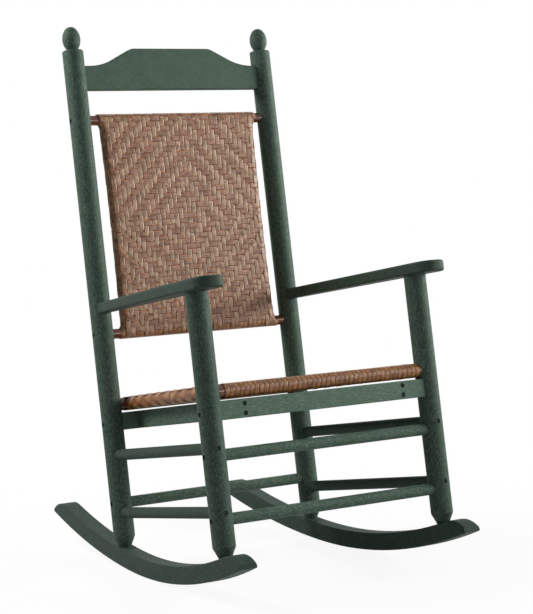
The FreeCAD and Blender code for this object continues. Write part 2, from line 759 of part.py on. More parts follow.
def seat_sleeve(name, radius, inset):
    """Woven seat, wider to the front, round at its sides and round over its two rods."""
    level = size("seat_rod_level")
    depth = size("seat_depth")
    rear_half = size("rear_spacing") / 2 - post_radius - size("seat_weave_gap") - inset
    side_radius = radius + size("fit_gap")
    upright = FreeCAD.Rotation(ACROSS, 90)
    sections = []
    for end, y in (("rear", 2 * radius), ("front", -depth - 2 * radius)):
        half_width = rear_half - y * math.tan(splay)
        place = FreeCAD.Placement(V(0, y, level), upright)
        sections.append(slot_sketch(f"{name}_{end}", half_width, side_radius, place))
    sides = loft(f"{name}_sides", sections, True)
    lengthwise = FreeCAD.Rotation(V(0, 1, 0), V(0, 0, 1), V(1, 0, 0), "XYZ")
    ends = bolster(f"{name}_ends", depth / 2 + radius, radius, V(0, -depth / 2, level), lengthwise,
                   2 * size("front_spacing"))
    return common(name, sides, ends)


def make_weaves():
    """Hollow double sleeves of strand, tight over the rods and clear of the posts."""
    outer = back_sleeve("back_outside", measure(BACK_WRAP), 0)
    inner = back_sleeve("back_inside", measure(BACK_LINING), size("strand_thickness"))
    tools = [inner]
    for course in ("upper", "lower"):
        start = POSTS["left_rear_post"] + raised(size(f"back_{course}_level"))
        tools.append(cylinder(f"back_{course}_rod_way", BACK_LINING, "rear_spacing", aim(start, ACROSS)))
    finish(cut("back_weave", outer, tools), "back_weave")

    outer = seat_sleeve("seat_outside", measure(SEAT_WRAP), 0)
    tools = [seat_sleeve("seat_inside", measure(SEAT_LINING), size("strand_thickness"))]
    for first, _, span in (FRONT_PAIR, REAR_PAIR):
        start = POSTS[first] + raised(size("seat_rod_level"))
        tools.append(cylinder(f"seat_{first}_rod_way", SEAT_LINING, span, aim(start, ACROSS)))
    finish(cut("seat_weave", outer, tools), "seat_weave")


def make_screws():
    """One node for each group of like screws."""
    half_head, half_shank = size("screw_head_diameter") / 2, size("screw_diameter") / 2
    head = size("screw_head_height")
    for group, places in screw_groups.items():
        solids = []
        for index, (place, length_formula) in enumerate(places):
            length = measure(length_formula)
            body = doc.addObject("PartDesign::Body", f"{group}_{index}")
            sketch = sketch_on(body, "XZ_Plane", f"{group}_{index}_outline")
            shoulder = length - size("screw_tip_length")
            corners = [(0, -head), (half_head, -head), (half_head, 0),
                       (half_shank, 0), (half_shank, shoulder), (0, length)]
            first = draw(sketch, corners)
            bind_place(sketch, first, 2, "screw_head_diameter / 2")
            bind_place(sketch, first, 4, "screw_diameter / 2", f"{length_formula} - screw_tip_length")
            revolve(body, sketch)
            solid = body.Shape.copy()
            solid.Placement = place
            solids.append(solid)
        feature = doc.addObject("Part::Feature", f"{group}_set")
        feature.Shape = Part.makeCompound(solids)
        finish(feature, group)


make_stretchers()
make_seat_frame()
make_rods()
make_crest_rail()
for side in SIDES:
    make_arm(side)
for side in SIDES:
    make_rocker(side)
make_posts()
make_weaves()
make_screws()
doc.recompute()

for feature in doc.Objects:
    broken = {"Invalid", "Error"} & set(feature.State)
    if broken:
        raise RuntimeError(f"{feature.Label} is {', '.join(broken)}")
for piece in pieces:
    if piece.Shape.isNull() or not piece.Shape.isValid() or not piece.Shape.Solids:
        raise RuntimeError(f"{piece.Label} has no valid solid")

os.makedirs("parts", exist_ok=True)
for piece in pieces:
    piece.Shape.exportStep(os.path.join("parts", piece.Label + ".step"))
    print(f"{piece.Label}: {len(piece.Shape.Solids)} solids, {piece.Shape.Volume / 1000:.1f} cm3")
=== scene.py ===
import json
import math
import random

import bmesh
import bpy
from mathutils import Matrix, Vector

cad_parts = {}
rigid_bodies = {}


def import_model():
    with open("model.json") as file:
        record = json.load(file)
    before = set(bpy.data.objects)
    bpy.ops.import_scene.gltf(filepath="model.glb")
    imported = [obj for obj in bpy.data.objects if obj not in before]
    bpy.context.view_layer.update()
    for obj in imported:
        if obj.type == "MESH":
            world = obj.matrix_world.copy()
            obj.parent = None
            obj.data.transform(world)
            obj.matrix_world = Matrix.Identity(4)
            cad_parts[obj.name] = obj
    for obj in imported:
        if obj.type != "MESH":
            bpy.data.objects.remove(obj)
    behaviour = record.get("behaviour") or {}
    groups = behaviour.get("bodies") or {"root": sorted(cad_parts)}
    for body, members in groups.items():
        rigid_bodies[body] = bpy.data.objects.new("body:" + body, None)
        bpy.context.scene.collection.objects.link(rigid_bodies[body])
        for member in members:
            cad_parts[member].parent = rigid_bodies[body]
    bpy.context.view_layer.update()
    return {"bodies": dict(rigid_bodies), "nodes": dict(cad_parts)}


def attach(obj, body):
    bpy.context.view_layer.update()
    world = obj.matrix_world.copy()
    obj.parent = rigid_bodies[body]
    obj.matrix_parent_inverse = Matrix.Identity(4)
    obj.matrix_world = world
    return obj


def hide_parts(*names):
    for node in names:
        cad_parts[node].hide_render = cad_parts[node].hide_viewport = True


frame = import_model()
BODY = next(iter(frame["bodies"]))

# Each strand draws its tone from here as it is laid.
TONES = random.Random(41)

# The chair is drawn upright, then leaned back as one about the centre of its rockers' curve.
# Lengths are in metres. Left is the side at -X, and the front faces -Y.
RECLINE = math.radians(-8)
CURVE_CENTRE_UPRIGHT = Vector((0, -0.256, 1.1))
CURVE_CENTRE_LEANED = Vector((0, 0, 1.100102))
LEAN = (Matrix.Translation(CURVE_CENTRE_LEANED) @ Matrix.Rotation(RECLINE, 4, "X")
        @ Matrix.Translation(-CURVE_CENTRE_UPRIGHT))
ACROSS = Vector((1, 0, 0))
ALONG = Vector((0, 1, 0))
UP = Vector((0, 0, 1))
SIDES = ("left_", "right_")

# Woven back: strands up and down are the warp, strands side to side are the weft.
# From BACK_ON_ROD below the axis of the upper rod on, wefts lie on the rod itself.
BACK_ROD_LOW = 0.492
BACK_ROD_HIGH = 0.929
BACK_ROD_RADIUS = 0.0102
BACK_HALF_NEAR_RODS = 0.1800
BACK_HALF_MIDDLE = 0.1770
BACK_FLARE_LENGTH = 0.022
BACK_SLIP = 0.001
BACK_WARPS_A_SIDE = 17
BACK_WEFTS_BELOW = 20
BACK_WEFTS_ABOVE = 21
BACK_WEFT_PITCH = 0.0108
BACK_WEFT_MIDDLE = 0.2223
BACK_WEFT_TILT = 0.02
BACK_ON_ROD = 0.004

# Woven seat, a sleeve round the front and rear rods, its underside drawn up between them.
# The outer warps lie in from the edge by a share of their width, more where the side is round.
SEAT_LEVEL = 0.3493
SEAT_ROD_RADIUS = 0.0127
SEAT_ROD_CLEARANCE = 0.0001
SEAT_DEPTH = 0.442
SEAT_HALF_REAR = 0.196
SEAT_HALF_FRONT = 0.217
SEAT_SLIP = 0.0035
SEAT_WARPS = 42
SEAT_WEFTS = 39
SEAT_WEFT_PITCH = 0.0107
SEAT_DRAWN_UP = 0.0018
SEAT_DRAWN_SQUARENESS = 6
SEAT_FREE_LENGTH = 0.03
SEAT_WARP_INSET = 0.52
SEAT_WARP_INSET_ROUND = 0.41

# Strands: flat tapes with eased edges that all but touch side by side, and dive short and steep.
# DIVE pairs a share of the way between two crossings with a share of the fall.
STRAND_THICKNESS = 0.0009
STRAND_RIDE = 0.0005
STRAND_EDGE_DROP = 0.00012
STRAND_FLAT_SHARE = 0.66
STRAND_BEND_STEP = 0.3
STRAND_JOIN = 0.000002
DIVE = ((0, 0), (0.27, 0), (0.36, 0.10), (0.5, 0.5), (0.64, 0.90), (0.73, 1))
# DIVE_LEAD shifts the painted dive shading along the strand with its climb.
DIVE_LEAD = 0.4
WARP_WIDTH = 0.0105
WEFT_WIDTH = 0.0107

# The rear and under faces repeat the twill of the front and top two rows on.
OTHER_FACE_ROWS = 2

# Width that a sleeve gains where strands go round its side, in radii of that side.
ROUND_A_SIDE = math.pi / 2 - 1

# Green of the lumber from the dark of its grain to the light, and its faint blotches.
LUMBER_GREENS = ((-0.22, (0.040, 0.064, 0.048)), (0, (0.062, 0.096, 0.073)),
                 (0.22, (0.098, 0.145, 0.111)))
LUMBER_BLOTCHES = ((0.34, (0.92, 0.93, 0.92)), (0.66, (1.06, 1.05, 1.06)))
ROD_BROWNS = ((0.3, (0.085, 0.026, 0.012)), (0.7, (0.150, 0.050, 0.024)))
SCREW_GREYS = ((0.45, (0.036, 0.050, 0.043)), (0.75, (0.070, 0.088, 0.078)))

# Tone across a strand, edge to edge: fine rib lines, as the real strands have, with painted light
# and shading for a rounded profile: a painted dark far edge on the warps, a painted highlight on
# the top edge of the wefts, and on the seat's warps painted shading at both edges round a painted
# highlight along the middle.
WARP_RIBS_AND_SHADED_EDGE = ((0, (1.05, 0.95, 0.80)), (0.15, (1.20, 1.18, 1.12)), (0.35, (0.82, 0.78, 0.74)),
             (0.55, (1.24, 1.24, 1.20)), (0.75, (0.92, 0.88, 0.84)), (1, (0.72, 0.58, 0.48)))
WEFT_RIBS_AND_LIT_EDGE = ((0, (1.02, 0.88, 0.70)), (0.20, (1.02, 1.02, 1.02)), (0.40, (0.84, 0.81, 0.80)),
             (0.60, (1.12, 1.10, 1.08)), (0.80, (0.95, 0.93, 0.92)), (1, (1.50, 1.28, 1.00)))
SEAT_WARP_CROWN_SHADING = ((0, (0.50, 0.39, 0.31)), (0.22, (1.02, 0.98, 0.92)), (0.5, (1.20, 1.20, 1.18)),
                  (0.78, (1.02, 0.98, 0.92)), (1, (0.40, 0.30, 0.23)))

# Browns of the strands, the painted shading they take where they dive under a crossing strand
# (a warm tint on the warps, darker on the wefts), and their gloss.
# All four are one strand: their browns differ, the seat's warps darkest and its wefts lightest, as
# painted light and shading for how the light falls on each.
BACK_WARP_LOOK = {"ribs_and_shading": WARP_RIBS_AND_SHADED_EDGE, "dark": (0.140, 0.073, 0.037),
                  "middle": (0.280, 0.168, 0.103), "pale": (0.420, 0.284, 0.198),
                  "dive": (1.10, 0.96, 0.78), "gloss": 0.35}
BACK_WEFT_LOOK = {"ribs_and_shading": WEFT_RIBS_AND_LIT_EDGE, "dark": (0.125, 0.051, 0.026),
                  "middle": (0.240, 0.126, 0.080), "pale": (0.355, 0.208, 0.142),
                  "dive": (0.56, 0.40, 0.31), "gloss": 0.35}
SEAT_WARP_LOOK = {"ribs_and_shading": SEAT_WARP_CROWN_SHADING, "dark": (0.118, 0.050, 0.017),
                  "middle": (0.210, 0.103, 0.040), "pale": (0.302, 0.168, 0.080),
                  "dive": (1.05, 0.92, 0.74), "gloss": 0.4}
SEAT_WEFT_LOOK = {"ribs_and_shading": WEFT_RIBS_AND_LIT_EDGE, "dark": (0.188, 0.082, 0.030),
                  "middle": (0.310, 0.158, 0.064), "pale": (0.432, 0.245, 0.118),
                  "dive": (0.66, 0.46, 0.35), "gloss": 0.4}
STRAND_HUES = ((0.36, (1.05, 0.96, 0.93)), (0.64, (0.98, 1.03, 0.95)))
STRAND_FIBRE_SHARE = 0.5
STRAND_PATTERNS_APART = 57

# Studio: the floor glows a little less near the chair, so that the shadow shows there.
LIGHTS_ROUND = Vector((0, 0, 0.5))
ROOM_ON_CHAIR = 0.2
FLOOR_HALF = 20
FLOOR_GLOW_NEAR = 0.91
FLOOR_SHADOW_FROM = 0.35
FLOOR_SHADOW_TO = 1.1
FLOOR_PALE = ((0, (0.62, 0.62, 0.62)), (1, (0.95, 0.95, 0.95)))
CAMERA_LENS_MM = 107.63
CAMERA_SENSOR_MM = 36
CAMERA_STAND = Matrix(((0.85310, 0.06873, -0.51721, -1.8512),
                       (-0.52030, 0.03827, -0.85312, -3.1585),
                       (-0.03885, 0.99690, 0.06841, 0.7589),
                       (0, 0, 0, 1)))


class FinishMix:
    """The nodes of a finish or of the room, with shorthands that add and join them."""

    def __init__(self, tree):
        self.tree = tree

    def add(self, kind, **settings):
        """Add a node with its settings."""
        node = self.tree.nodes.new("ShaderNode" + kind)
        for key, value in settings.items():
            setattr(node, key, value)
        return node

    def link(self, start, end):
        """Link an output to an input."""
        self.tree.links.new(start, end)

    def worked(self, kind, operation, *values):
        """Work out a Math or VectorMath node from outputs and plain values."""
        node = self.add(kind, operation=operation)
        for socket, value in zip(node.inputs, values):
            if isinstance(value, bpy.types.NodeSocket):
                self.link(value, socket)
            else:
                socket.default_value = value
        return node.outputs["Vector" if kind == "VectorMath" else "Value"]

    def noise(self, place, scale, detail, roughness=0.5):
        """Read a noise pattern at a place."""
        pattern = self.add("TexNoise")
        pattern.inputs["Scale"].default_value = scale
        pattern.inputs["Detail"].default_value = detail
        pattern.inputs["Roughness"].default_value = roughness
        self.link(place, pattern.inputs["Vector"])
        return pattern.outputs["Fac"]

    def colours(self, share, *stops):
        """Read a band of colours at a share, from its stops as pairs of share and colour."""
        band = self.add("ValToRGB")
        elements = band.color_ramp.elements
        while len(elements) < len(stops):
            elements.new(0.5)
        for element, (spot, colour) in zip(elements, stops):
            element.position = spot
            element.color = (*colour, 1)
        self.link(share, band.inputs["Fac"])
        return band.outputs["Color"]

    def between(self, value, low, high):
        """Run from low to high as a value goes from 0 to 1."""
        scale = self.add("MapRange")
        scale.inputs["To Min"].default_value = low
        scale.inputs["To Max"].default_value = high
        self.link(value, scale.inputs["Value"])
        return scale.outputs["Result"]

    def tinted(self, colour, tint):
        """Multiply a colour by a tint."""
        glaze = self.add("Mix", data_type="RGBA", blend_type="MULTIPLY")
        glaze.inputs["Factor"].default_value = 1
        self.link(colour, glaze.inputs["A"])
        self.link(tint, glaze.inputs["B"])
        return glaze.outputs["Result"]

    def relief(self, height, strength, depth):
        """Raise a pattern on the surface."""
        bump = self.add("Bump")
        bump.inputs["Strength"].default_value = strength
        bump.inputs["Distance"].default_value = depth
        self.link(height, bump.inputs["Height"])
        return bump.outputs["Normal"]

    def shown(self, ray):
        """Give 1 on rays that show a thing: to the eye, off gloss and through glass."""
        plain = self.worked("Math", "MAXIMUM", ray.outputs["Is Camera Ray"],
                            ray.outputs["Is Glossy Ray"])
        return self.worked("Math", "MAXIMUM", plain, ray.outputs["Is Transmission Ray"])


def start_finish(name):
    """Start a finish: its material, its shader and the mix of its nodes."""
    finish = bpy.data.materials.new(name)
    finish.use_nodes = True
    tree = finish.node_tree
    return finish, tree.nodes["Principled BSDF"], FinishMix(tree)


def set_out(name, data):
    """Set a new object out in the scene, at the origin."""
    thing = bpy.data.objects.new(name, data)
    bpy.context.scene.collection.objects.link(thing)
    return thing


def lumber_finish(name, stretch, painted_shading, fineness=520, fleck=1):
    """Green plastic lumber: grain drawn along the stock, flecked, with faint blotches, painted
    lighter or darker per piece for its light.
    """
    finish, shader, mix = start_finish(name)
    place = mix.add("TexCoord").outputs["Object"]
    along = mix.add("Mapping", vector_type="TEXTURE")
    along.inputs["Rotation"].default_value = (RECLINE, 0, 0)
    along.inputs["Scale"].default_value = stretch
    mix.link(place, along.inputs["Vector"])
    grain = mix.noise(along.outputs["Vector"], scale=fineness, detail=5, roughness=0.62)
    blotch = mix.noise(place, scale=46, detail=4)
    # Painted light and shading: each piece's copy of the one lumber is scaled brighter or darker to
    # stand in for how the light falls on it.
    greens = [(0.5 + spot / fleck, [channel * painted_shading for channel in green])
              for spot, green in LUMBER_GREENS]
    colour = mix.tinted(mix.colours(grain, *greens), mix.colours(blotch, *LUMBER_BLOTCHES))
    mix.link(colour, shader.inputs["Base Color"])
    mix.link(mix.between(grain, low=0.62, high=0.46), shader.inputs["Roughness"])
    raised = mix.relief(grain, strength=0.35 * fleck, depth=0.0006)
    mix.link(raised, shader.inputs["Normal"])
    shader.inputs["Specular IOR Level"].default_value = 0.06
    return finish


def strand_finish(name, ribs_and_shading, dark, middle, pale, dive, gloss):
    """Flat woven strand: fibres and rib lines along it, painted highlight and shading across it and
    painted shading where it dives, a tone of its own.
    """
    finish, shader, mix = start_finish(name)
    run = mix.add("UVMap", uv_map="run").outputs["UV"]
    tone = mix.add("Attribute", attribute_name="tone").outputs["Fac"]
    sunk = mix.add("Attribute", attribute_name="sunk").outputs["Fac"]
    own = mix.add("CombineXYZ")
    mix.link(tone, own.inputs["Z"])
    across = mix.add("SeparateXYZ")
    mix.link(run, across.inputs["Vector"])

    def drawn(lengthwise, crosswise):
        spread = mix.worked("VectorMath", "MULTIPLY_ADD", run, (lengthwise, crosswise, 1))
        apart = mix.worked("VectorMath", "MULTIPLY_ADD", own.outputs["Vector"],
                           (1, 1, STRAND_PATTERNS_APART), spread)
        return mix.noise(apart, scale=1, detail=3)

    fibre = drawn(lengthwise=80, crosswise=7)
    stretch = mix.worked("Math", "MULTIPLY", drawn(lengthwise=75, crosswise=0.3),
                         1 - STRAND_FIBRE_SHARE)
    blend = mix.worked("Math", "MULTIPLY_ADD", fibre, STRAND_FIBRE_SHARE, stretch)
    brown = mix.colours(blend, (0.40, dark), (0.5, middle), (0.60, pale))
    hue = mix.colours(drawn(lengthwise=48, crosswise=0.6), *STRAND_HUES)
    # Painted shading where the strand dives under a crossing strand, read from how far it has sunk.
    painted_shading = mix.colours(sunk, (0.05, (1, 1, 1)), (0.55, dive))
    # Rib lines with painted highlight and shading across the strand; the same tones also raise the
    # bump.
    ribbed_and_shaded = mix.colours(across.outputs["Y"], *ribs_and_shading)
    colour = mix.tinted(mix.tinted(mix.tinted(brown, hue), painted_shading), ribbed_and_shaded)
    mix.link(colour, shader.inputs["Base Color"])
    height = mix.worked("Math", "MULTIPLY_ADD", fibre, 0.5, ribbed_and_shaded)
    raised = mix.relief(height, strength=0.3, depth=0.0002)
    mix.link(raised, shader.inputs["Normal"])
    shader.inputs["Roughness"].default_value = 0.42
    shader.inputs["Specular IOR Level"].default_value = gloss
    return finish


def mottled_finish(name, tints, scale, detail, roughness, gloss, metal=0):
    """A coat whose colour and roughness vary in small patches."""
    finish, shader, mix = start_finish(name)
    patch = mix.noise(mix.add("TexCoord").outputs["Object"], scale, detail)
    mix.link(mix.colours(patch, *tints), shader.inputs["Base Color"])
    mix.link(mix.between(patch, *roughness), shader.inputs["Roughness"])
    shader.inputs["Specular IOR Level"].default_value = gloss
    shader.inputs["Metallic"].default_value = metal
    return finish


def diamond_twill(column, row):
    """Give 1 where a warp lies over the weft and -1 where it dives.

    Each strand goes over two and under two, in nested diamonds.
    """
    return 1 if (int(abs(column)) + abs(row) + 1) % 4 < 2 else -1


def strand_course(crossings, reach=None):
    """Places along a strand with its height there, from its crossings as pairs of place and side.

    A reach closes the strand into a loop of that length.
    """
    if reach:
        crossings = crossings + [(crossings[0][0] + reach, crossings[0][1])]
    course = []
    for (place, side), (onward, other) in zip(crossings, crossings[1:]):
        for share, fall in DIVE if side * other < 0 else ((0, 0),):
            height = STRAND_RIDE * (side + (other - side) * fall)
            course.append((place + (onward - place) * share, height))
    course.append((crossings[-1][0], STRAND_RIDE * crossings[-1][1]))
    return course


def eased_round(route, course):
    """Add places to a course wherever its strand bends round a rod or a side."""
    eased = course[:1]
    for place, height in course[1:]:
        before, level = eased[-1]
        bend = route(before, level)[1].angle(route(place, height)[1])
        steps = max(1, math.ceil(bend / STRAND_BEND_STEP))
        eased += [(before + (place - before) * step / steps,
                   level + (height - level) * step / steps)
                  for step in range(1, steps + 1)]
    return eased


def over_edge(shift, flat, bend, free):
    """Carry a warp near the edge of a sleeve round its side: place across, drop and tilt."""
    over = max(0, abs(shift) - flat)
    tilt = free * over / bend
    across = math.copysign(abs(shift) - over * (1 - math.cos(tilt / 2)), shift)
    return across, over * math.sin(tilt / 2), math.copysign(tilt, shift)


def tilted(facing, tilt):
    """Face and edge directions of a warp that leans sideways by a tilt."""
    return (facing * math.cos(tilt) + ACROSS * math.sin(tilt),
            ACROSS * math.cos(tilt) - facing * math.sin(tilt))


def oval(half, radius, place):
    """Point and outward face on a flat oval: straights of twice half, joined by half circles."""
    straight = 2 * half
    turn = math.pi * radius
    place = place % (2 * (straight + turn))
    if place < straight:
        return Vector((place - half, -radius)), Vector((0, -1))
    if place < straight + turn:
        angle = (place - straight) / radius - math.pi / 2
        face = Vector((math.cos(angle), math.sin(angle)))
        return Vector((half, 0)) + face * radius, face
    if place < 2 * straight + turn:
        return Vector((half - (place - straight - turn), radius)), Vector((0, 1))
    angle = (place - 2 * straight - turn) / radius + math.pi / 2
    face = Vector((math.cos(angle), math.sin(angle)))
    return Vector((-half, 0)) + face * radius, face


class Weave:
    """The strands of one direction of a woven cover, laid one by one into one mesh."""

    def __init__(self, name):
        self.name = name
        self.mesh = bmesh.new()
        self.run = self.mesh.loops.layers.uv.new("run")
        self.tone = self.mesh.faces.layers.float.new("tone")
        self.sunk = self.mesh.verts.layers.float.new("sunk")

    def lay(self, route, course, width):
        """Lay one flat strand along its course.

        The route gives the strand's middle, face and edge directions at a place and height.
        """
        course = eased_round(route, course)
        steps = len(course) - 1
        ribbon = bmesh.ops.create_grid(self.mesh, x_segments=steps, y_segments=3,
                                       size=0.5)["verts"]
        tone = TONES.random()
        guides = [route(place, height) for place, height in course]
        spots = {}
        for vert in ribbon:
            step = round((vert.co.x + 0.5) * steps)
            rim = abs(vert.co.y) > STRAND_FLAT_SHARE / 2
            across = math.copysign(0.5 if rim else STRAND_FLAT_SHARE / 2, vert.co.y)
            place, height = course[step]
            spots[vert] = (place, across + 0.5)
            middle, face, edge = guides[step]
            vert.co = middle + edge * (across * width) - face * (STRAND_EDGE_DROP * rim)
            climb = course[min(step + 1, steps)][1] - course[max(step - 1, 0)][1]
            # How far the strand has sunk here, led by its climb: the mask of the painted shading
            # where it dives.
            vert[self.sunk] = 0.5 - (height - DIVE_LEAD * climb) / STRAND_RIDE / 2
        for quad in {quad for vert in ribbon for quad in vert.link_faces}:
            quad[self.tone] = tone
            quad.smooth = True
            for corner in quad.loops:
                corner[self.run].uv = spots[corner.vert]

    def set_in_chair(self, finish, *nodes):
        """Close the loops, set the strands in the leaned chair and give them their thickness."""
        bmesh.ops.remove_doubles(self.mesh, verts=self.mesh.verts, dist=STRAND_JOIN)
        bmesh.ops.recalc_face_normals(self.mesh, faces=self.mesh.faces)
        bmesh.ops.transform(self.mesh, matrix=LEAN, verts=self.mesh.verts)
        sheet = bpy.data.meshes.new(self.name)
        self.mesh.to_mesh(sheet)
        self.mesh.free()
        sheet.materials.append(finish)
        cover = set_out(self.name, sheet)
        wall = cover.modifiers.new("thickness", "SOLIDIFY")
        wall.thickness = STRAND_THICKNESS
        wall.offset = 0
        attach(cover, BODY)
        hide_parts(*nodes)


def back_flare(level):
    """Share of the flare of the woven back at a level: whole at the rods, gone a little way off."""
    near = min(max(level - BACK_ROD_LOW, 0), max(BACK_ROD_HIGH - level, 0))
    return max(0, 1 - near / BACK_FLARE_LENGTH) ** 2


def back_half(level):
    """Half the width of the woven back at a level, drawn in between the rods."""
    share = min(max((level - BACK_ROD_LOW) / (BACK_ROD_HIGH - BACK_ROD_LOW), 0), 1)
    drawn_in = BACK_HALF_NEAR_RODS - BACK_HALF_MIDDLE
    return BACK_HALF_MIDDLE + drawn_in * (2 * share - 1) ** 2


def weave_back(warp_finish, weft_finish):
    """Diamond twill in a double sleeve round the two back rods."""
    wrap = BACK_ROD_RADIUS + STRAND_THICKNESS / 2 + STRAND_RIDE
    rise = BACK_ROD_HIGH - BACK_ROD_LOW
    turn = math.pi * wrap
    middle_level = (BACK_ROD_HIGH + BACK_ROD_LOW) / 2
    rows = [(row, BACK_WEFT_MIDDLE + row * BACK_WEFT_PITCH)
            for row in range(-BACK_WEFTS_BELOW, BACK_WEFTS_ABOVE + 1)]
    columns = range(-BACK_WARPS_A_SIDE, BACK_WARPS_A_SIDE + 1)

    def warp_shift(column, level):
        whole = back_half(level) + ROUND_A_SIDE * wrap
        return column / (BACK_WARPS_A_SIDE + 0.5) * whole

    warp = Weave("woven_back_warp")
    for column in columns:
        front = [(place, diamond_twill(column, row)) for row, place in rows]
        rear = [(2 * rise + turn - place, diamond_twill(column, row + OTHER_FACE_ROWS))
                for row, place in rows[::-1]]

        def up_the_back(place, height, column=column):
            spot, face = oval(rise / 2, wrap, place)
            level = middle_level + spot.x
            shift, drop, tilt = over_edge(warp_shift(column, level), back_half(level) - wrap,
                                          wrap, 1 - back_flare(level))
            outward = Vector((0, face.y, face.x))
            facing, edge = tilted(outward, tilt)
            middle = Vector((shift + BACK_SLIP, spot.y, level))
            return middle - outward * drop + facing * height, facing, edge

        warp.lay(up_the_back, strand_course(front + rear, 2 * (rise + turn)), WARP_WIDTH)
    weft = Weave("woven_back_weft")
    for row, place in rows:
        spot, face = oval(rise / 2, wrap, place)
        level = middle_level + spot.x
        half = back_half(level)
        shifts = [(warp_shift(column, level), column) for column in columns]
        if place > rise - BACK_ON_ROD:
            ends = half + ROUND_A_SIDE * wrap
            for front, twill_row in ((1, row), (-1, row + OTHER_FACE_ROWS)):
                facing = Vector((0, face.y * front, face.x))
                inside = [(shift, -diamond_twill(column, twill_row)) for shift, column in shifts]

                def along_rod(place, height, facing=facing, depth=spot.y * front, level=level):
                    middle = Vector((place + BACK_SLIP, depth, level))
                    return middle + facing * height, facing, facing.cross(ACROSS)

                crossings = [(-ends, -1)] + inside + [(ends, -1)]
                weft.lay(along_rod, strand_course(crossings), WEFT_WIDTH)
            continue
        flat = half - wrap
        front = [(shift + flat, -diamond_twill(column, row)) for shift, column in shifts]
        rear = [(3 * flat + turn - shift, -diamond_twill(column, row + OTHER_FACE_ROWS))
                for shift, column in shifts[::-1]]
        slope = BACK_WEFT_TILT * (1 - back_flare(level))

        def across_back(place, height, flat=flat, level=level, slope=slope):
            spot, face = oval(flat, wrap, place)
            facing = Vector((face.x, face.y, 0))
            middle = Vector((spot.x + BACK_SLIP, spot.y, level + slope * spot.x))
            return middle + facing * height, facing, UP

        weft.lay(across_back, strand_course(front + rear, 2 * (2 * flat + turn)), WEFT_WIDTH)
    warp.set_in_chair(warp_finish, "back_weave")
    weft.set_in_chair(weft_finish, "back_weave")


def seat_half(depth):
    """Half the width of the woven seat, wider to the front."""
    return SEAT_HALF_REAR + (SEAT_HALF_FRONT - SEAT_HALF_REAR) * -depth / SEAT_DEPTH


def seat_freedom(depth):
    """How far the seat's sides are free of the rods: nothing over a rod, whole a little way off."""
    near = min(max(-depth, 0), max(SEAT_DEPTH + depth, 0))
    return min(near / SEAT_FREE_LENGTH, 1)


def weave_seat(warp_finish, weft_finish):
    """The same strands in a double sleeve round the front and rear seat rods."""
    wrap = SEAT_ROD_RADIUS + STRAND_THICKNESS / 2 + SEAT_ROD_CLEARANCE
    turn = math.pi * wrap
    reach = 2 * (SEAT_DEPTH + turn)
    middle_depth = -SEAT_DEPTH / 2
    rear_rod = [(SEAT_DEPTH, 0), (SEAT_DEPTH + turn, 0)]
    front_rod = [(2 * SEAT_DEPTH + turn, 0), (reach, 0)]
    rows = [(row, row * SEAT_WEFT_PITCH)
            for row in range(-(SEAT_WEFTS // 2), SEAT_WEFTS // 2 + 1)]
    columns = [column - (SEAT_WARPS - 1) / 2 for column in range(SEAT_WARPS)]

    def warp_shift(column, depth):
        inset = SEAT_WARP_INSET + SEAT_WARP_INSET_ROUND * seat_freedom(depth)
        edge = seat_half(depth) - WARP_WIDTH * inset
        return column / columns[-1] * edge

    def draw_up(depth, face):
        off_middle = min(abs(2 * (depth - middle_depth) / SEAT_DEPTH), 1)
        return SEAT_DRAWN_UP * max(0, -face.y) * (1 - off_middle ** SEAT_DRAWN_SQUARENESS)

    warp = Weave("woven_seat_warp")
    for column in columns:
        below = [(place + SEAT_DEPTH / 2, diamond_twill(column, row + OTHER_FACE_ROWS))
                 for row, place in rows]
        above = [(1.5 * SEAT_DEPTH + turn - place, diamond_twill(column, row))
                 for row, place in rows[::-1]]

        def along_seat(place, height, column=column):
            spot, face = oval(SEAT_DEPTH / 2, wrap, place)
            depth = middle_depth + spot.x
            half = seat_half(depth)
            shift, drop, tilt = over_edge(warp_shift(column, depth), half - wrap,
                                          wrap, seat_freedom(depth))
            outward = Vector((0, face.x, face.y))
            facing, edge = tilted(outward, tilt)
            level = SEAT_LEVEL + spot.y + draw_up(depth, face)
            middle = Vector((shift + SEAT_SLIP, depth, level))
            return (middle - outward * drop + facing * height, facing,
                    edge * (half / SEAT_HALF_FRONT))

        crossings = below + rear_rod + above + front_rod
        warp.lay(along_seat, strand_course(crossings, reach), WARP_WIDTH)
    weft = Weave("woven_seat_weft")
    for row, place in rows:
        depth = middle_depth + place
        flat = seat_half(depth) - wrap
        shifts = [(warp_shift(column, depth), column) for column in columns]
        below = [(shift + flat, -diamond_twill(column, row + OTHER_FACE_ROWS))
                 for shift, column in shifts]
        above = [(3 * flat + turn - shift, -diamond_twill(column, row))
                 for shift, column in shifts[::-1]]

        def across_seat(place, height, flat=flat, depth=depth):
            spot, face = oval(flat, wrap, place)
            facing = Vector((face.x, 0, face.y))
            level = SEAT_LEVEL + spot.y + draw_up(depth, face)
            return Vector((spot.x + SEAT_SLIP, depth, level)) + facing * height, facing, ALONG

        weft.lay(across_seat, strand_course(below + above, 2 * (2 * flat + turn)), WEFT_WIDTH)
    warp.set_in_chair(warp_finish, "seat_weave")
    weft.set_in_chair(weft_finish, "seat_weave")


